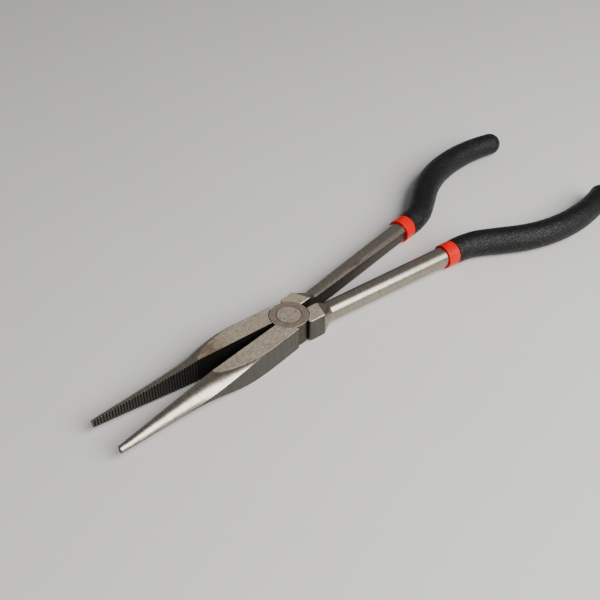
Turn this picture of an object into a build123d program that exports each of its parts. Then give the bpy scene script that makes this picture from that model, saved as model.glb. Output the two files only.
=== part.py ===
from build123d import *
import math
import os

# Long-reach needle nose pliers. Lengths are in mm and angles in degrees.
# The origin is on the pivot's axis at the underside of the joint. +X runs along the
# centre line towards the jaw tips, +Z is up, and +Y is to the left of +X.
#
# Both halves are one forging used twice. It is drawn closed, as the upper half: its jaw
# is on +Y, its handle is on -Y, and its lap plate is the upper one. The lower half is
# the same forging turned over about the X axis. Heights are drawn from the underside.

# Driving dimensions
jaw_reach = 92.5
joint_thickness = 10.8
mid = joint_thickness / 2
half_opening = 5.1

# Joint: two half-thick lap plates held by a rivet with a flush countersunk head each side
boss_radius = 8.45
boss_gap = 0.25
lap_gap = 0.1
seam_chamfer = 0.15
rivet_head_radius = 5.3
rivet_shaft_radius = 3.2
rivet_head_depth = 2.1
rivet_edge = 0.15
running_gap = 0.05

# Jaw
shoulder_x = 4.0
ground_off = 0.1
ground_half = mid + ground_off
jaw_edge_round = 0.15
face_gap = 0.05
relief_depth = 0.25
teeth_start = 46.0
tooth_pitch = 1.25
tooth_depth = 0.42

# Handle block behind the joint. It is ground level with the joint as far as the step, which
# slants: it is further back at the inner side than at the outer side.
block_front_x = -4.2
step_inner_x = -14.2
step_outer_x = -11.9
block_rear_x = -19.0
block_inner_y = -0.95
block_outer_y = -9.35
block_step = 0.8
block_bevel = 0.25
block_corner_radius = 1.2

# Shank: a tapered round bar with a flat along its inner side. Points are x and the
# distance from the centre line.
shank_front = (block_rear_x, 3.8)
shank_rear = (-94.0, 6.68)
shank_front_radius = 4.4
shank_rear_radius = 4.8
flat_front = (block_rear_x, -block_inner_y)
flat_rear = (-95.0, 2.3)
flare_radius = 8.5
flare_bite = 0.1

# Tang, collar and grip
tang_radius = 3.0
collar_front_x = -83.7
collar_length = 6.5
collar_radius = 5.65
collar_lip = 0.35
spigot_radius = 5.15
spigot_length = 4.0
bend_x = -93.0
bend_radius = 34.0
bend_angle = 26.0
ramp_length = 12.3
palm_radius = 68.0
rear_radius = 85.0
rear_angle = 23.0
tang_share = 0.55
grip_end_radius = 5.6


def jaw_section(plane, width, half_height, flat_width, side_half_height):
    """Section with a flat inner side on local x = 0 and level flats above and below.

    An arc runs from each flat, tangent to it, down to the edge of the upright side.
    """
    inner = half_height - jaw_edge_round
    with BuildSketch(plane) as section:
        with BuildLine():
            Line((0, -inner), (0, inner))
            CenterArc((jaw_edge_round, inner), jaw_edge_round, 90, 90)
            Line((jaw_edge_round, half_height), (flat_width, half_height))
            TangentArc((flat_width, half_height), (width, side_half_height), tangent=(1, 0))
            Line((width, side_half_height), (width, -side_half_height))
            TangentArc((flat_width, -half_height), (width, -side_half_height), tangent=(1, 0))
            Line((flat_width, -half_height), (jaw_edge_round, -half_height))
            CenterArc((jaw_edge_round, -inner), jaw_edge_round, 180, 90)
        make_face()
    return section.sketch


def jaw_sections(stations):
    """Sections across the jaw: local x is +Y, local y is +Z, centred on the joint."""
    return [
        jaw_section(Plane(origin=(x, 0, mid), x_dir=(0, 1, 0), z_dir=(1, 0, 0)), *sizes)
        for x, *sizes in stations
    ]


# Jaw stations: x, width, half height, width of the flats, and half height of the side.
# The rounded nose starts as a point on the square bar's edge and takes over from it.
nose_start = (teeth_start, 8.1, 5.3, 0.6, 2.1)
jaw_root = [
    (shoulder_x, 9.1, ground_half, 8.25, 5.3),
    (13.0, 9.3, ground_half, 8.45, 5.3),
    (20.0, 9.42, ground_half, 8.5, 5.28),
    (30.0, 9.4, ground_half, 7.1, 4.85),
    (38.0, 9.0, ground_half, 4.5, 3.75),
    nose_start,
]
jaw_nose = [
    nose_start,
    (60.0, 6.3, 4.2, 0.4, 0.3),
    (76.0, 4.3, 2.95, 0.3, 0.2),
    (jaw_reach, 2.4, 1.7, 0.25, 0.15),
]

# Jaw: lofted from the shoulder to the blunt tip, with ground flats and a toothed face
with BuildPart() as jaw:
    loft(sections=jaw_sections(jaw_root))
    loft(sections=jaw_sections(jaw_nose))

    # The flats above and below are ground level with the joint
    with BuildSketch(Plane.XY.offset(joint_thickness)):
        Rectangle(3 * jaw_reach, 3 * jaw_reach)
    extrude(amount=mid, mode=Mode.SUBTRACT)
    with BuildSketch(Plane.XY):
        Rectangle(3 * jaw_reach, 3 * jaw_reach)
    extrude(amount=-mid, mode=Mode.SUBTRACT)

    # The gripping face stands back from the centre line, further where it has no teeth
    with BuildSketch():
        with Locations((jaw_reach / 2, 0)):
            Rectangle(2 * jaw_reach, 2 * face_gap)
        with Locations((teeth_start / 2, 0)):
            Rectangle(teeth_start, 2 * relief_depth)
    extrude(amount=joint_thickness, mode=Mode.SUBTRACT)

    # Cross teeth along the gripping face
    tooth_count = math.floor((jaw_reach - teeth_start) / tooth_pitch)
    tooth_side = tooth_depth * math.sqrt(2)
    with BuildSketch():
        for number in range(tooth_count):
            with Locations((teeth_start + (number + 0.5) * tooth_pitch, face_gap)):
                Rectangle(tooth_side, tooth_side, rotation=45)
    extrude(amount=joint_thickness, mode=Mode.SUBTRACT)

# Lap plate: a disc with a small bevel round its top face
with BuildPart() as lap_plate:
    with BuildSketch(Plane.XY.offset(mid + lap_gap / 2)):
        Circle(boss_radius)
    extrude(amount=mid - lap_gap / 2)
    chamfer(lap_plate.edges().filter_by(GeomType.CIRCLE).sort_by(Axis.Z)[-1], seam_chamfer)


# Axis of the shank
shank_start = Vector(shank_front[0], -shank_front[1], mid)
shank_end = Vector(shank_rear[0], -shank_rear[1], mid)
shank_heading = (shank_end - shank_start).normalized()

# Flare: the hollow that narrows the block to the shank. It is round about the shank's
# axis, and trims the rear of the square block. Its arc ends a little under the surface of
# the shank, so the two meet in a faint crease.
flare_rim = shank_front_radius - flare_bite + flare_radius
flare_outer = 2 * flare_rim
with BuildPart() as flare:
    with BuildSketch(Plane(origin=shank_start, x_dir=shank_heading, z_dir=(0, 0, 1))):
        with BuildLine():
            Polyline((0, 0), (0, shank_front_radius - flare_bite))
            CenterArc((0, flare_rim), flare_radius, 270, -90)
            Polyline(
                (-flare_radius, flare_rim),
                (-flare_radius, flare_outer),
                (-flare_outer, flare_outer),
                (-flare_outer, 0),
                (0, 0),
            )
        make_face()
    revolve(axis=Axis(shank_start, shank_heading))

# Handle block: the ground part, and a slightly thinner neck behind the step
with BuildPart() as handle_block:
    with BuildSketch():
        with BuildLine():
            Polyline(
                (block_front_x, block_outer_y),
                (block_front_x, block_inner_y),
                (step_inner_x, block_inner_y),
                (step_outer_x, block_outer_y),
                close=True,
            )
        make_face()
    extrude(amount=joint_thickness)
    upright_edges = handle_block.edges().filter_by(Axis.Z).group_by(Axis.Y)[0]
    fillet(upright_edges.sort_by(Axis.X)[-1], block_corner_radius)
    chamfer(handle_block.edges().group_by(Axis.Z)[0], block_bevel)
    chamfer(handle_block.edges().group_by(Axis.Z)[-1], block_bevel)
    with BuildSketch(Plane.XY.offset(block_step)):
        with Locations((block_rear_x, block_outer_y)):
            Rectangle(
                step_outer_x + block_bevel - block_rear_x,
                block_inner_y - block_outer_y,
                align=(Align.MIN, Align.MIN),
            )
    extrude(amount=joint_thickness - 2 * block_step)
    add(flare.part, mode=Mode.INTERSECT)


def shank_y(x):
    """Distance of the shank's axis from the centre line at x."""
    drift = (shank_rear[1] - shank_front[1]) / (shank_front[0] - shank_rear[0])
    return shank_front[1] + drift * (shank_front[0] - x)


# Centre line of the tang: straight through the collar, a bend outwards, a ramp, then the
# long curve that fills the palm. The grip carries the last curve on past the tang's end.
with BuildLine(Plane.XY.offset(mid)) as tang_line:
    straight_run = Line((collar_front_x, -shank_y(collar_front_x)), (bend_x, -shank_y(bend_x)))
    outward_bend = JernArc(straight_run @ 1, straight_run % 1, bend_radius, bend_angle)
    ramp = PolarLine(outward_bend @ 1, ramp_length, direction=outward_bend % 1)
    palm_curve = JernArc(ramp @ 1, ramp % 1, palm_radius, -bend_angle)
    rear_curve = JernArc(palm_curve @ 1, palm_curve % 1, rear_radius, -tang_share * rear_angle)
with BuildLine() as grip_line:
    add(tang_line.line)
    JernArc(rear_curve @ 1, rear_curve % 1, rear_radius, (tang_share - 1) * rear_angle)
tang_path = tang_line.wire()
grip_path = grip_line.wire()


def plane_across(path, share):
    """Plane across a path, at a share of its length, with local x upwards."""
    return Plane(
        origin=path.position_at(share), x_dir=(0, 0, 1), z_dir=path.tangent_at(share)
    )


def grip_section(distance, radius):
    """Round section across the grip, a distance along it from the collar's front."""
    with BuildSketch(plane_across(grip_path, distance / grip_path.length)) as section:
        Circle(radius)
    return section.sketch


# Shank with its tang: a tapered bar, less the flat on its inner side, and the tang that
# runs on inside the grip
with BuildPart() as shank:
    with BuildSketch(Plane(origin=shank_start, x_dir=(0, 0, 1), z_dir=-shank_heading)):
        Circle(shank_front_radius)
    extrude(amount=flare_radius)
    with BuildSketch(Plane(origin=shank_start, x_dir=(0, 0, 1), z_dir=shank_heading)):
        Circle(shank_front_radius)
    with BuildSketch(Plane(origin=shank_end, x_dir=(0, 0, 1), z_dir=shank_heading)):
        Circle(shank_rear_radius)
    loft()
    with BuildSketch():
        with BuildLine():
            Polyline(
                (block_front_x, shank_front_radius),
                (block_front_x, -flat_front[1]),
                (flat_front[0], -flat_front[1]),
                (flat_rear[0], -flat_rear[1]),
                (flat_rear[0], shank_front_radius),
                close=True,
            )
        make_face()
    extrude(amount=joint_thickness, mode=Mode.SUBTRACT)
    with BuildSketch(plane_across(tang_path, 0)):
        Circle(tang_radius)
    sweep(path=tang_path)


# One half in its closed position: jaw, lap plate, handle block, shank and tang
with BuildPart() as forged_half:
    add(jaw.part)
    add(handle_block.part)
    add(shank.part)
    # Room for the other half's lap plate, which turns on the pivot
    with BuildSketch():
        Circle(boss_radius + boss_gap)
    extrude(amount=mid + lap_gap / 2, mode=Mode.SUBTRACT)
    add(lap_plate.part)


def rivet_body(gap):
    """Body of the rivet, larger in radius by the gap."""
    head = rivet_head_radius + gap
    shaft = rivet_shaft_radius + gap
    with BuildPart() as body:
        with BuildSketch(Plane.XZ):
            with BuildLine():
                Polyline(
                    (0, 0),
                    (head, 0),
                    (shaft, rivet_head_depth),
                    (shaft, joint_thickness - rivet_head_depth),
                    (head, joint_thickness),
                    (0, joint_thickness),
                    close=True,
                )
            make_face()
        revolve(axis=Axis.Z)
    return body.part


# Where each half lies: turned open to its own side, the lower one turned over first
upper_place = Rotation(0, 0, half_opening)
lower_place = Rotation(0, 0, -half_opening) * Location((0, 0, joint_thickness), (180, 0, 0))

# The rivet is pressed into the upper half and turns in the lower one. Its two heads are
# flush with the lap plates.
with BuildPart() as pivot_rivet:
    add(rivet_body(0))
    rims = pivot_rivet.edges().filter_by(GeomType.CIRCLE)
    chamfer(rims.group_by(Axis.Z)[0] + rims.group_by(Axis.Z)[-1], rivet_edge)

with BuildPart() as upper_half:
    add(forged_half.part.moved(upper_place))
    add(rivet_body(0), mode=Mode.SUBTRACT)

with BuildPart() as lower_half:
    add(forged_half.part.moved(lower_place))
    add(rivet_body(running_gap), mode=Mode.SUBTRACT)

# Collar: a thin ring at the grip's front, with a spigot that runs back under the grip
with BuildPart() as collar:
    loft(sections=[grip_section(0, collar_radius), grip_section(collar_length, collar_radius)])
    fillet(collar.edges().filter_by(GeomType.CIRCLE), collar_lip)
    loft(
        sections=[
            grip_section(collar_length / 2, spigot_radius),
            grip_section(collar_length + spigot_length, spigot_radius),
        ]
    )
    add(shank.part, mode=Mode.SUBTRACT)

# Grip stations: distance along the centre line from the collar's front, and radius
grip_stations = [
    (collar_length, 5.75),
    (collar_length + 7.0, 5.9),
    (collar_length + 15.0, 6.15),
    (collar_length + 27.0, 6.3),
    (collar_length + 41.0, 6.3),
    (collar_length + 55.0, 6.25),
    (collar_length + 69.0, 6.1),
    (collar_length + 81.0, 5.85),
    (grip_path.length, grip_end_radius),
]

# Grip: a round moulding over the spigot and the tang, with a domed end
with BuildPart() as grip:
    loft(sections=[grip_section(*station) for station in grip_stations])
    with Locations(plane_across(grip_path, 1)):
        Sphere(grip_end_radius, arc_size1=0, align=(Align.CENTER, Align.CENTER, Align.MIN))
    add(shank.part, mode=Mode.SUBTRACT)
    add(collar.part, mode=Mode.SUBTRACT)

with BuildPart() as upper_collar:
    add(collar.part.moved(upper_place))

with BuildPart() as lower_collar:
    add(collar.part.moved(lower_place))

with BuildPart() as upper_grip:
    add(grip.part.moved(upper_place))

with BuildPart() as lower_grip:
    add(grip.part.moved(lower_place))

os.makedirs("parts", exist_ok=True)
upper_half.part.label = "upper_half"
export_step(upper_half.part, "parts/upper_half.step")
lower_half.part.label = "lower_half"
export_step(lower_half.part, "parts/lower_half.step")
pivot_rivet.part.label = "pivot_rivet"
export_step(pivot_rivet.part, "parts/pivot_rivet.step")
upper_collar.part.label = "upper_collar"
export_step(upper_collar.part, "parts/upper_collar.step")
lower_collar.part.label = "lower_collar"
export_step(lower_collar.part, "parts/lower_collar.step")
upper_grip.part.label = "upper_grip"
export_step(upper_grip.part, "parts/upper_grip.step")
lower_grip.part.label = "lower_grip"
export_step(lower_grip.part, "parts/lower_grip.step")
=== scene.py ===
import math

import bpy
from mathutils import Matrix, Vector, noise


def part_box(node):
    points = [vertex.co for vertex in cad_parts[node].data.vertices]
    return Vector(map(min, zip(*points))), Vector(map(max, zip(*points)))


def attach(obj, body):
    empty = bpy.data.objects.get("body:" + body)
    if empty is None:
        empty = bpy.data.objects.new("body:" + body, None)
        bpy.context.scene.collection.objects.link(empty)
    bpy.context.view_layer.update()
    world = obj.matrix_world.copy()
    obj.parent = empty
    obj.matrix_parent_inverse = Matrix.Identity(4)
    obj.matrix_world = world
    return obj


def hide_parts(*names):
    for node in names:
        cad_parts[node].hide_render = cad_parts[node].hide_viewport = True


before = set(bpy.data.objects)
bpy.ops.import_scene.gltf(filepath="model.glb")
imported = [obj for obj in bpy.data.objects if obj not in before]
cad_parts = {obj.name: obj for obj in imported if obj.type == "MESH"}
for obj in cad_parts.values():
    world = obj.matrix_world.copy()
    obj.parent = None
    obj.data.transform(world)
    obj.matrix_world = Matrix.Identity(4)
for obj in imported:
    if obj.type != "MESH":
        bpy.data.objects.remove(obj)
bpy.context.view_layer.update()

# Long-reach needle nose pliers, in the frame of the CAD model: +X towards the jaw tips, +Z
# up, the pivot's axis at x = 0 and y = 0. Blender works in metres. Names that end in _mm
# are in millimetres.
MM = 0.001

# Each half is one forging used twice. Its own frame is the closed upper half's: the jaw is
# on +Y and the handle on -Y. The upper half is turned open by the half opening, and the
# lower one is turned over about X first.
half_opening = math.radians(5.1)
thickness_mm = 10.8

# Features of the forging that the materials follow: the joint, the slanted step and inner
# side of the handle block, the flat along the shank, the jaw and the bevels
boss_radius_mm = 8.45
rivet_radius_mm = 5.3
step_inner_mm = -14.2
step_slope = 0.274
flat_slope = 0.0178
block_inner_mm = -0.95
block_rear_mm = -19.0
teeth_start_mm = 46.0
leaf_end_mm = (27, 38)
bevel_front_mm = 12.0
bevel_depth_mm = 5.1

# Depths of the fine relief in the materials
steel_relief_mm = 0.018
collar_peel_mm = 0.03
grip_grain_mm = 0.4

# Centre line of a grip, in the closed frame, at mid height: from the collar's front it runs
# straight, bends outwards, and curves back along the palm
collar_front_mm = (-83.7, -6.2845)
collar_length_mm = 6.5
handle_slope = math.atan(0.0384)
straight_mm = 9.307
ramp_mm = 12.3
bend_radius_mm = 34.0
bend_angle = math.radians(26)
palm_radius_mm = 68.0
rear_radius_mm = 85.0
rear_angle = math.radians(23)

# Length and radius of each run of the centre line; a straight run has no radius, and a
# radius below zero bends back towards the other handle
grip_runs_mm = (
    (straight_mm, None),
    (bend_radius_mm * bend_angle, bend_radius_mm),
    (ramp_mm, None),
    (palm_radius_mm * bend_angle, -palm_radius_mm),
    (rear_radius_mm * rear_angle, -rear_radius_mm),
)
grip_length_mm = sum(length for length, radius in grip_runs_mm)

# Grip: distance along the centre line from the collar's front, and radius
grip_end_radius_mm = 5.6
grip_radii_mm = (
    (collar_length_mm, 5.75),
    (collar_length_mm + 7.0, 5.9),
    (collar_length_mm + 15.0, 6.15),
    (collar_length_mm + 27.0, 6.3),
    (collar_length_mm + 41.0, 6.3),
    (collar_length_mm + 55.0, 6.25),
    (collar_length_mm + 69.0, 6.1),
    (collar_length_mm + 81.0, 5.85),
    (grip_length_mm, grip_end_radius_mm),
)
lip_mm = 0.5

# Grip's bore: wide where the collar's spigot sits, then narrow as far as the tang's end
bore_radius_mm = 5.2
bore_depth_mm = 4.0
tang_bore_radius_mm = 3.02
tang_end_mm = 86.8
bore_tip_radius_mm = 0.2

# Grip's skin: its mesh, and pebbles of two sizes, as lumps per mm
grip_segments = 140
ring_spacing_mm = 0.27
bore_steps = 40
lip_steps = 5
pebble_depth_mm = 0.11
coarse_pebbles = 1.1
fine_pebbles = 2.4
fine_share = 0.5

# Camera: above the jaws' near side, looking back along the tool
camera_place = Vector((0.1999, 0.2252, 0.2676))
camera_azimuth = math.radians(136.81)
camera_elevation = math.radians(39.63)
camera_roll = math.radians(-0.25)
camera_lens = 56.71
camera_shift = (-0.0149, 0.0011)
camera_clip = 0.01


def srgb(red, green, blue):
    """Linear colour of an sRGB colour given as 0 to 255."""

    def linear(channel):
        share = channel / 255
        return share / 12.92 if share < 0.04 else ((share + 0.055) / 1.055) ** 2.4

    return (linear(red), linear(green), linear(blue), 1.0)


class Graph:
    """A material's node tree, with short calls for the nodes used here."""

    def __init__(self, name):
        self.material = bpy.data.materials.new(name)
        self.material.use_nodes = True
        self.tree = self.material.node_tree
        self.shader = self.tree.nodes["Principled BSDF"]

    def node(self, kind, **settings):
        node = self.tree.nodes.new(kind)
        for name, value in settings.items():
            setattr(node, name, value)
        return node

    def put(self, socket, value):
        if isinstance(value, bpy.types.NodeSocket):
            self.tree.links.new(value, socket)
        else:
            socket.default_value = value

    def math(self, operation, *values):
        node = self.node("ShaderNodeMath", operation=operation)
        for socket, value in zip(node.inputs, values):
            self.put(socket, value)
        return node.outputs[0]

    def times(self, first, *others):
        for other in others:
            first = self.math("MULTIPLY", first, other)
        return first

    def without(self, first, second):
        """First mask where the second one isn't."""
        return self.math("MULTIPLY", first, self.math("SUBTRACT", 1.0, second))

    def ramp(self, value, low, high, bottom=0.0, top=1.0):
        """Goes smoothly from bottom at low to top at high; low may be above high."""
        node = self.node("ShaderNodeMapRange", interpolation_type="SMOOTHSTEP")
        self.put(node.inputs["Value"], value)
        node.inputs["From Min"].default_value = low
        node.inputs["From Max"].default_value = high
        node.inputs["To Min"].default_value = bottom
        node.inputs["To Max"].default_value = top
        return node.outputs[0]

    def mix(self, factor, first, second):
        node = self.node("ShaderNodeMix", data_type="RGBA")
        self.put(node.inputs[0], factor)
        self.put(node.inputs[6], first)
        self.put(node.inputs[7], second)
        return node.outputs[2]

    def blend(self, factor, first, second):
        """Mixes two numbers."""
        node = self.node("ShaderNodeMix", data_type="FLOAT")
        self.put(node.inputs[0], factor)
        self.put(node.inputs[2], first)
        self.put(node.inputs[3], second)
        return node.outputs[0]

    def shade(self, color, amount):
        """The colour times a number."""
        node = self.node("ShaderNodeMix", data_type="RGBA", blend_type="MULTIPLY")
        node.inputs[0].default_value = 1.0
        self.put(node.inputs[6], color)
        self.put(node.inputs[7], amount)
        return node.outputs[2]

    def split(self, vector):
        """The three components of a vector."""
        node = self.node("ShaderNodeSeparateXYZ")
        self.put(node.inputs[0], vector)
        return node.outputs

    def stretched(self, vector, scale):
        node = self.node("ShaderNodeMapping")
        self.put(node.inputs["Vector"], vector)
        node.inputs["Scale"].default_value = scale
        return node.outputs[0]

    def noise(self, vector, scale=(1, 1, 1), detail=3.0, roughness=0.55):
        node = self.node("ShaderNodeTexNoise")
        self.put(node.inputs["Vector"], self.stretched(vector, scale))
        node.inputs["Scale"].default_value = 1.0
        node.inputs["Detail"].default_value = detail
        node.inputs["Roughness"].default_value = roughness
        return node.outputs["Fac"]

    def bump(self, height, depth_mm):
        node = self.node("ShaderNodeBump")
        node.inputs["Strength"].default_value = 1.0
        node.inputs["Distance"].default_value = depth_mm * MM
        self.put(node.inputs["Height"], height)
        return node.outputs[0]

    def finish(self, color, roughness, metallic, normal=None):
        self.put(self.shader.inputs["Base Color"], color)
        self.put(self.shader.inputs["Roughness"], roughness)
        self.shader.inputs["Metallic"].default_value = metallic
        if normal is not None:
            self.put(self.shader.inputs["Normal"], normal)
        return self.material


def forging_place(graph, turned_over):
    """Position in mm in the forging's own frame."""
    side = -1 if turned_over else 1
    coordinates = graph.node("ShaderNodeTexCoord")
    mapping = graph.node("ShaderNodeMapping")
    graph.put(mapping.inputs["Vector"], coordinates.outputs["Object"])
    mapping.inputs["Scale"].default_value = (1 / MM, side / MM, side / MM)
    mapping.inputs["Rotation"].default_value = (0, 0, -half_opening)
    mapping.inputs["Location"].default_value = (0, 0, thickness_mm if turned_over else 0)
    return mapping.outputs[0]


def levelness(graph):
    """1 where the surface faces straight up or down, and 0 where it is upright."""
    coordinates = graph.node("ShaderNodeTexCoord")
    return graph.math("ABSOLUTE", graph.split(coordinates.outputs["Normal"])[2])


def joint_radius(graph, place):
    """Distance from the pivot's axis."""
    x, y, _ = graph.split(place)
    return graph.math("SQRT", graph.math("ADD", graph.times(x, x), graph.times(y, y)))


def polar_place(graph, place):
    """Turn about the pivot and distance from it, for marks that run round the joint."""
    x, y, _ = graph.split(place)
    turn = graph.math("ARCTAN2", y, x)
    node = graph.node("ShaderNodeCombineXYZ")
    graph.put(node.inputs["X"], graph.math("MULTIPLY", turn, boss_radius_mm))
    graph.put(node.inputs["Y"], joint_radius(graph, place))
    return node.outputs[0]


class Regions:
    """Where each finish lies on a forging, as masks from 0 to 1."""

    def __init__(self, graph, place):
        x, y, z = graph.split(place)
        facing = levelness(graph)
        radius = joint_radius(graph, place)
        half_thickness = thickness_mm / 2
        depth = graph.math("ABSOLUTE", graph.math("SUBTRACT", z, half_thickness))

        # Ground flats, with the bevels round the lap plate and the handle block
        level = graph.ramp(depth, half_thickness - 0.06, half_thickness - 0.02)
        bevel = graph.times(
            graph.ramp(depth, bevel_depth_mm - 0.05, bevel_depth_mm + 0.05),
            graph.ramp(x, bevel_front_mm, bevel_front_mm - 2.0),
            graph.ramp(facing, 0.3, 0.5),
        )
        self.flat = graph.math("MAXIMUM", level, bevel)
        self.upright = graph.ramp(facing, 0.35, 0.15)

        # Lap plate, the gap round it with its painted shade, and the rims of the joint and of the
        # rivet
        self.boss = graph.ramp(radius, boss_radius_mm + 0.05, boss_radius_mm - 0.05)
        self.gap = graph.times(
            graph.ramp(radius, boss_radius_mm + 0.1, boss_radius_mm + 0.2),
            graph.ramp(radius, boss_radius_mm + 0.6, boss_radius_mm + 0.4),
            graph.math("SUBTRACT", 1.0, self.flat),
        )
        self.boss_side_tone_and_shade = graph.ramp(radius, boss_radius_mm + 0.2, boss_radius_mm + 0.05)
        from_rivet = graph.math("ABSOLUTE", graph.math("SUBTRACT", radius, rivet_radius_mm + 0.1))
        self.rivet_line = graph.ramp(from_rivet, 0.3, 0.08, 0.0, 0.65)

        # Jaw: its gripping face, the tips of the teeth, the stretch without teeth, the leaf's end
        self.gripping = graph.times(self.upright, graph.ramp(y, 0.8, 0.6), graph.ramp(x, 3.5, 4.5))
        # Painted highlight along the crests of the teeth
        self.tooth_tip_highlight = graph.ramp(y, 0.4, 0.1)
        self.toothless = graph.ramp(x, teeth_start_mm, teeth_start_mm - 0.2)
        self.leaf_end = graph.ramp(x, *leaf_end_mm)

        # Handle: behind the slanted step of the block, and the flat on its inner side
        outward = graph.math("SUBTRACT", block_inner_mm, y)
        step_line = graph.math("MULTIPLY_ADD", outward, step_slope, step_inner_mm)
        behind_step = graph.ramp(graph.math("SUBTRACT", step_line, x), 0.0, 0.1)
        self.handle_side = graph.times(self.upright, behind_step)
        from_block = graph.math("SUBTRACT", x, block_rear_mm)
        flat_line = graph.math("MULTIPLY_ADD", from_block, flat_slope, block_inner_mm)
        past_flat = graph.ramp(graph.math("SUBTRACT", y, flat_line), -0.15, -0.05)
        self.handle_inside = graph.times(self.handle_side, past_flat)


class Grain:
    """Noises that the steel's colour, roughness and relief share."""

    def __init__(self, graph, place):
        self.streaks = graph.noise(place, (0.45, 2.6, 1.0), detail=5.0, roughness=0.72)
        self.fine_streaks = graph.noise(place, (1.4, 4.6, 1.0), detail=3.0, roughness=0.7)
        self.specks = graph.noise(place, (2.2, 2.2, 2.2), detail=3.0, roughness=0.7)
        holes = graph.noise(place, (0.7, 1.5, 1.0), detail=4.0, roughness=0.7)
        self.pits = graph.ramp(holes, 0.6, 0.7)


def ground_color(graph, place, regions, grain, tint):
    """Ground flats: lengthwise streaks, blotches and pits, and a brown tint at the leaf's end."""
    blotches = graph.noise(place, (0.22, 0.4, 0.3), detail=3.0)
    color = graph.mix(graph.ramp(grain.streaks, 0.36, 0.64), srgb(184, 167, 146), srgb(246, 232, 211))
    color = graph.shade(color, graph.ramp(blotches, 0.3, 0.7, 0.9, 1.06))
    color = graph.shade(color, graph.ramp(grain.fine_streaks, 0.35, 0.65, 0.72, 1.1))
    color = graph.mix(graph.times(grain.pits, 0.6), color, srgb(84, 73, 66))
    brown = graph.times(regions.leaf_end, graph.ramp(blotches, 0.3, 0.55), tint)
    return graph.mix(brown, color, srgb(138, 108, 84))


def plate_color(graph, place, regions):
    """Lap plate: browner, with marks that run round the pivot and a dark line at the rivet."""
    rings = graph.noise(polar_place(graph, place), (0.3, 2.6, 1.0), detail=4.0)
    color = graph.mix(graph.ramp(rings, 0.35, 0.65), srgb(150, 134, 116), srgb(184, 169, 151))
    return graph.mix(regions.rivet_line, color, srgb(82, 60, 44))


def polished_color(graph, place, grain):
    """Rounded nose and shank: polished across, with fine marks."""
    across = graph.noise(place, (1.8, 0.3, 0.3), detail=3.0, roughness=0.6)
    color = graph.mix(graph.ramp(across, 0.3, 0.7), srgb(150, 140, 126), srgb(174, 164, 149))
    return graph.shade(color, graph.ramp(grain.specks, 0.3, 0.55, 0.8, 1.0))


def side_color(graph, place, regions):
    """Upright sides: grey satin; the lap plate's rim is browner, and a little darker as painted
    shade.
    """
    satin = graph.noise(place, (0.9, 0.9, 0.12), detail=3.0)
    color = graph.mix(graph.ramp(satin, 0.3, 0.7), srgb(88, 86, 81), srgb(98, 95, 89))
    # Lap plate's rim: browner tone, and darker as painted shade
    return graph.mix(regions.boss_side_tone_and_shade, color, srgb(84, 79, 68))


def gripping_shade_and_highlight_color(graph, regions):
    """Gripping face: dark as painted shade, with painted highlights on the tips of the teeth."""
    color = graph.mix(regions.tooth_tip_highlight, srgb(44, 43, 41), srgb(98, 95, 89))
    return graph.mix(regions.toothless, color, srgb(66, 62, 58))


def steel(name, turned_over, tint):
    """Forged and ground steel of one half. The tint is the brown of its leaf's end."""
    graph = Graph(name)
    place = forging_place(graph, turned_over)
    regions = Regions(graph, place)
    grain = Grain(graph, place)
    flat, upright = regions.flat, regions.upright

    ground = ground_color(graph, place, regions, grain, tint)
    ground = graph.mix(regions.boss, ground, plate_color(graph, place, regions))
    polished = polished_color(graph, place, grain)
    inside = graph.mix(graph.ramp(grain.specks, 0.3, 0.7), srgb(86, 80, 73), srgb(108, 101, 93))
    color = graph.mix(upright, polished, side_color(graph, place, regions))
    color = graph.mix(regions.handle_side, color, polished)
    color = graph.mix(regions.handle_inside, color, inside)
    color = graph.mix(flat, color, ground)
    # Gripping face: painted shade, with painted highlights on the teeth's tips
    color = graph.mix(graph.without(regions.gripping, flat), color, gripping_shade_and_highlight_color(graph, regions))
    # Painted shade: dark brown in the recess round the lap plate
    color = graph.mix(graph.times(regions.gap, 0.85), color, srgb(48, 34, 25))

    roughness = graph.blend(upright, graph.ramp(grain.specks, 0.3, 0.7, 0.36, 0.26), 0.42)
    roughness = graph.blend(regions.handle_side, roughness, 0.3)
    roughness = graph.blend(regions.handle_inside, roughness, 0.45)
    roughness = graph.blend(flat, roughness, graph.ramp(grain.streaks, 0.3, 0.7, 0.72, 0.6))
    roughness = graph.blend(regions.gripping, roughness, 0.5)

    marks = graph.math("ADD", grain.streaks, grain.fine_streaks)
    relief = graph.blend(flat, graph.times(grain.specks, 0.4), marks)
    relief = graph.without(relief, graph.without(upright, flat))
    relief = graph.math("SUBTRACT", relief, graph.times(grain.pits, flat))
    return graph.finish(color, roughness, 1.0, graph.bump(relief, steel_relief_mm))


def rivet_steel():
    """Peened rivet, ground level with the lap plates: mottled, with a dark rim."""
    graph = Graph("rivet_steel")
    place = forging_place(graph, turned_over=False)
    radius = joint_radius(graph, place)
    mottle = graph.noise(place, (0.55, 0.75, 0.5), detail=4.0, roughness=0.6)
    scratches = graph.noise(place, (0.5, 3.2, 1.0), detail=4.0, roughness=0.65)
    pits = graph.ramp(graph.noise(place, (0.8, 0.9, 0.8), detail=2.0), 0.68, 0.74)
    color = graph.mix(graph.ramp(mottle, 0.35, 0.65), srgb(188, 171, 151), srgb(228, 214, 195))
    color = graph.shade(color, graph.ramp(scratches, 0.3, 0.7, 0.85, 1.08))
    color = graph.mix(graph.times(pits, 0.8), color, srgb(78, 62, 50))
    rim = graph.ramp(radius, rivet_radius_mm - 0.3, rivet_radius_mm - 0.1)
    color = graph.mix(graph.times(rim, 0.5), color, srgb(82, 60, 44))
    relief = graph.math("SUBTRACT", scratches, pits)
    roughness = graph.ramp(mottle, 0.3, 0.7, 0.68, 0.56)
    return graph.finish(color, roughness, 1.0, graph.bump(relief, steel_relief_mm))


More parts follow.
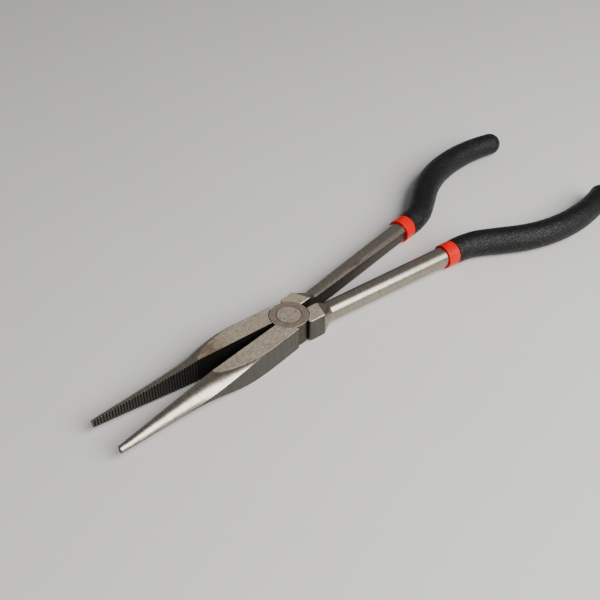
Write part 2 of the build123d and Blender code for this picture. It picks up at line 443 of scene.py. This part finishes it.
def collar_plastic():
    """Bright red plastic with a little sheen and a faint orange peel."""
    graph = Graph("collar_red")
    place = forging_place(graph, turned_over=False)
    peel = graph.noise(place, (0.9, 0.9, 0.9), detail=1.0)
    clouds = graph.noise(place, (0.25, 0.25, 0.25), detail=2.0)
    dust = graph.ramp(graph.noise(place, (3.0, 3.0, 3.0), detail=2.0), 0.66, 0.74)
    color = graph.mix(graph.ramp(clouds, 0.3, 0.7), srgb(208, 1, 0), srgb(226, 5, 2))
    color = graph.mix(graph.times(dust, 0.25), color, srgb(250, 130, 110))
    graph.shader.inputs["Coat Weight"].default_value = 0.05
    graph.shader.inputs["Specular IOR Level"].default_value = 0.12
    graph.shader.inputs["Coat Roughness"].default_value = 0.12
    roughness = graph.ramp(peel, 0.3, 0.7, 0.26, 0.36)
    return graph.finish(color, roughness, 0.0, graph.bump(peel, collar_peel_mm))


def grip_vinyl():
    """Black pebbled vinyl: the high points of its fine grain are shinier, and lighter grey as painted
    glints.
    """
    graph = Graph("grip_black")
    place = forging_place(graph, turned_over=False)
    grain = graph.noise(place, (1.4, 1.4, 1.4), detail=2.0, roughness=0.6)
    clouds = graph.noise(place, (0.12, 0.12, 0.12), detail=2.0)
    # Painted glints: the grain's high points lighter grey
    color = graph.mix(graph.ramp(grain, 0.5, 0.66), srgb(3, 3, 4), srgb(38, 37, 35))
    color = graph.shade(color, graph.ramp(clouds, 0.3, 0.7, 0.85, 1.15))
    graph.shader.inputs["Specular IOR Level"].default_value = 0.3
    roughness = graph.ramp(grain, 0.42, 0.66, 0.55, 0.24)
    return graph.finish(color, roughness, 0.0, graph.bump(grain, grip_grain_mm))


def dress(node, material):
    """Gives a CAD node's object its material."""
    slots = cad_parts[node].data.materials
    slots.clear()
    slots.append(material)


dress("upper_half", steel("upper_steel", turned_over=False, tint=0.1))
dress("lower_half", steel("lower_steel", turned_over=True, tint=0.75))
dress("pivot_rivet", rivet_steel())
red = collar_plastic()
dress("upper_collar", red)
dress("lower_collar", red)


def area_light(name, place, size, power):
    """Rectangular softbox at a place, facing the pivot."""
    data = bpy.data.lights.new(name, "AREA")
    data.shape = "RECTANGLE"
    data.size, data.size_y = size
    data.energy = power
    light = bpy.data.objects.new(name, data)
    bpy.context.scene.collection.objects.link(light)
    light.location = place
    light.rotation_euler = (-Vector(place)).to_track_quat("-Z", "Y").to_euler()


area_light("key", place=(-0.14, 0.68, 0.62), size=(0.8, 0.7), power=17)
area_light("fill", place=(-0.75, -0.8, 0.95), size=(1.7, 1.5), power=1.5)

world = bpy.data.worlds.new("studio")
bpy.context.scene.world = world
world.use_nodes = True
background = world.node_tree.nodes["Background"]
background.inputs["Color"].default_value = (0.9, 0.92, 1.0, 1)
background.inputs["Strength"].default_value = 0.12


def along_grip(distance):
    """Point on the grip's centre line, in mm, and the heading there."""
    x, y = collar_front_mm
    heading = math.pi + handle_slope
    for length, radius in grip_runs_mm:
        step = min(length, max(distance, 0.0))
        distance -= length
        if radius is None:
            x += step * math.cos(heading)
            y += step * math.sin(heading)
        else:
            turned = heading + step / radius
            x += radius * (math.sin(turned) - math.sin(heading))
            y -= radius * (math.cos(turned) - math.cos(heading))
            heading = turned
    x += max(distance, 0.0) * math.cos(heading)
    y += max(distance, 0.0) * math.sin(heading)
    return Vector((x, y, thickness_mm / 2)), heading


def grip_radius(distance):
    """Radius of the grip at a distance along it, eased between the stations."""
    for (start, first), (end, second) in zip(grip_radii_mm, grip_radii_mm[1:]):
        if distance <= end:
            share = (distance - start) / (end - start)
            return first + (second - first) * share * share * (3 - 2 * share)
    return grip_end_radius_mm


def bore_rings():
    """Rings of the grip's bore, as distance and radius, from its closed end to the collar."""
    bore_end = collar_length_mm + bore_depth_mm
    rings = [(tang_end_mm, bore_tip_radius_mm)]
    for number in range(bore_steps + 1):
        distance = tang_end_mm + (bore_end - tang_end_mm) * number / bore_steps
        rings.append((distance, tang_bore_radius_mm))
    return rings + [(bore_end, bore_radius_mm), (collar_length_mm, bore_radius_mm)]


def outer_rings():
    """Rings of the grip's outside: the rounded front lip, the length, the domed end."""
    rings = []
    for number in range(lip_steps):
        turn = math.pi / 2 * number / lip_steps
        distance = collar_length_mm + lip_mm * (1 - math.cos(turn))
        rings.append((distance, grip_radius(collar_length_mm) - lip_mm * (1 - math.sin(turn))))
    start = collar_length_mm + lip_mm
    steps = round((grip_length_mm - start) / ring_spacing_mm)
    for number in range(steps):
        distance = start + (grip_length_mm - start) * number / steps
        rings.append((distance, grip_radius(distance)))
    dome_steps = round(grip_end_radius_mm * math.pi / 2 / ring_spacing_mm)
    for number in range(dome_steps):
        turn = math.pi / 2 * number / dome_steps
        distance = grip_length_mm + grip_end_radius_mm * math.sin(turn)
        rings.append((distance, grip_end_radius_mm * math.cos(turn)))
    return rings


def pebbles(point, offset):
    """Height of the pebbled skin at a point; the offset makes each grip's own."""
    coarse = noise.noise(coarse_pebbles * point + offset)
    return pebble_depth_mm * (coarse + fine_share * noise.noise(fine_pebbles * point + offset))


def ring_points(distance, radius, pebble_offset=None):
    """Points round the centre line, in mm, pebbled if there is an offset."""
    centre, heading = along_grip(distance)
    side = Vector((-math.sin(heading), math.cos(heading), 0))
    points = []
    for number in range(grip_segments):
        turn = 2 * math.pi * number / grip_segments
        outward = math.cos(turn) * side + math.sin(turn) * Vector((0, 0, 1))
        point = centre + radius * outward
        if pebble_offset is not None:
            point += pebbles(point, pebble_offset) * outward
        points.append(point)
    return points


def skin_faces(ring_count):
    """Faces between the rings, a cap on the first ring, and a fan to the point after the last."""
    faces = [list(range(grip_segments))]
    for ring in range(ring_count - 1):
        first = ring * grip_segments
        for number in range(grip_segments):
            following = (number + 1) % grip_segments
            faces.append((
                first + following,
                first + number,
                first + grip_segments + number,
                first + grip_segments + following,
            ))
    last = (ring_count - 1) * grip_segments
    for number in range(grip_segments):
        following = (number + 1) % grip_segments
        faces.append((last + following, last + number, last + grip_segments))
    return faces


def build_grip(name, placement, seed):
    """Pebbled grip as one closed skin. The placement takes the closed frame to the part's."""
    bore = bore_rings()
    rings = bore + outer_rings()
    points = []
    for index, (distance, radius) in enumerate(rings):
        # The bore and the lip's first ring stay smooth
        pebble_offset = Vector((seed, 0, 0)) if index > len(bore) else None
        points += ring_points(distance, radius, pebble_offset)
    points.append(along_grip(grip_length_mm + grip_end_radius_mm)[0])
    mesh = bpy.data.meshes.new(name)
    mesh.from_pydata([placement @ (point * MM) for point in points], [], skin_faces(len(rings)))
    mesh.polygons.foreach_set("use_smooth", [True] * len(mesh.polygons))
    mesh.update()
    grip = bpy.data.objects.new(name, mesh)
    bpy.context.scene.collection.objects.link(grip)
    return grip


# The grips replace the plain CAD ones, on the same bodies
upper_placement = Matrix.Rotation(half_opening, 4, "Z")
lower_placement = (
    Matrix.Rotation(-half_opening, 4, "Z")
    @ Matrix.Translation((0, 0, thickness_mm * MM))
    @ Matrix.Rotation(math.pi, 4, "X")
)
vinyl = grip_vinyl()
for name, placement, seed, body in (
    ("upper_grip_vinyl", upper_placement, 11.0, "upper_body"),
    ("lower_grip_vinyl", lower_placement, 47.0, "lower_body"),
):
    grip = build_grip(name, placement, seed)
    grip.data.materials.append(vinyl)
    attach(grip, body)
    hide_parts(name.removesuffix("_vinyl"))


def studio_floor():
    """Matt pale surface with a very faint mottle."""
    graph = Graph("floor")
    coordinates = graph.node("ShaderNodeTexCoord")
    mottle = graph.noise(coordinates.outputs["Object"], (9, 9, 9), detail=3.0)
    color = graph.mix(mottle, srgb(222, 220, 216), srgb(229, 227, 223))
    return graph.finish(color, 0.6, 0.0)


# Floor: a plain pale studio surface at the height of the grips' undersides
floor_size = 6
floor_z = min(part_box(node)[0].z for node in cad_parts)
bpy.ops.mesh.primitive_plane_add(size=floor_size, location=(0, 0, floor_z))
floor = bpy.context.object
floor.name = "floor"
floor.data.materials.append(studio_floor())

camera_data = bpy.data.cameras.new("camera")
camera = bpy.data.objects.new("camera", camera_data)
bpy.context.scene.collection.objects.link(camera)
camera_data.lens = camera_lens
camera_data.shift_x, camera_data.shift_y = camera_shift
camera_data.clip_start = camera_clip
back = Vector((
    math.sin(camera_azimuth) * math.cos(camera_elevation),
    -math.cos(camera_azimuth) * math.cos(camera_elevation),
    math.sin(camera_elevation),
))
right = Vector((math.cos(camera_azimuth), math.sin(camera_azimuth), 0))
up = back.cross(right)
axes = Matrix((right, up, back)).transposed() @ Matrix.Rotation(camera_roll, 3, "Z")
camera.matrix_world = Matrix.Translation(camera_place) @ axes.to_4x4()
bpy.context.scene.camera = camera
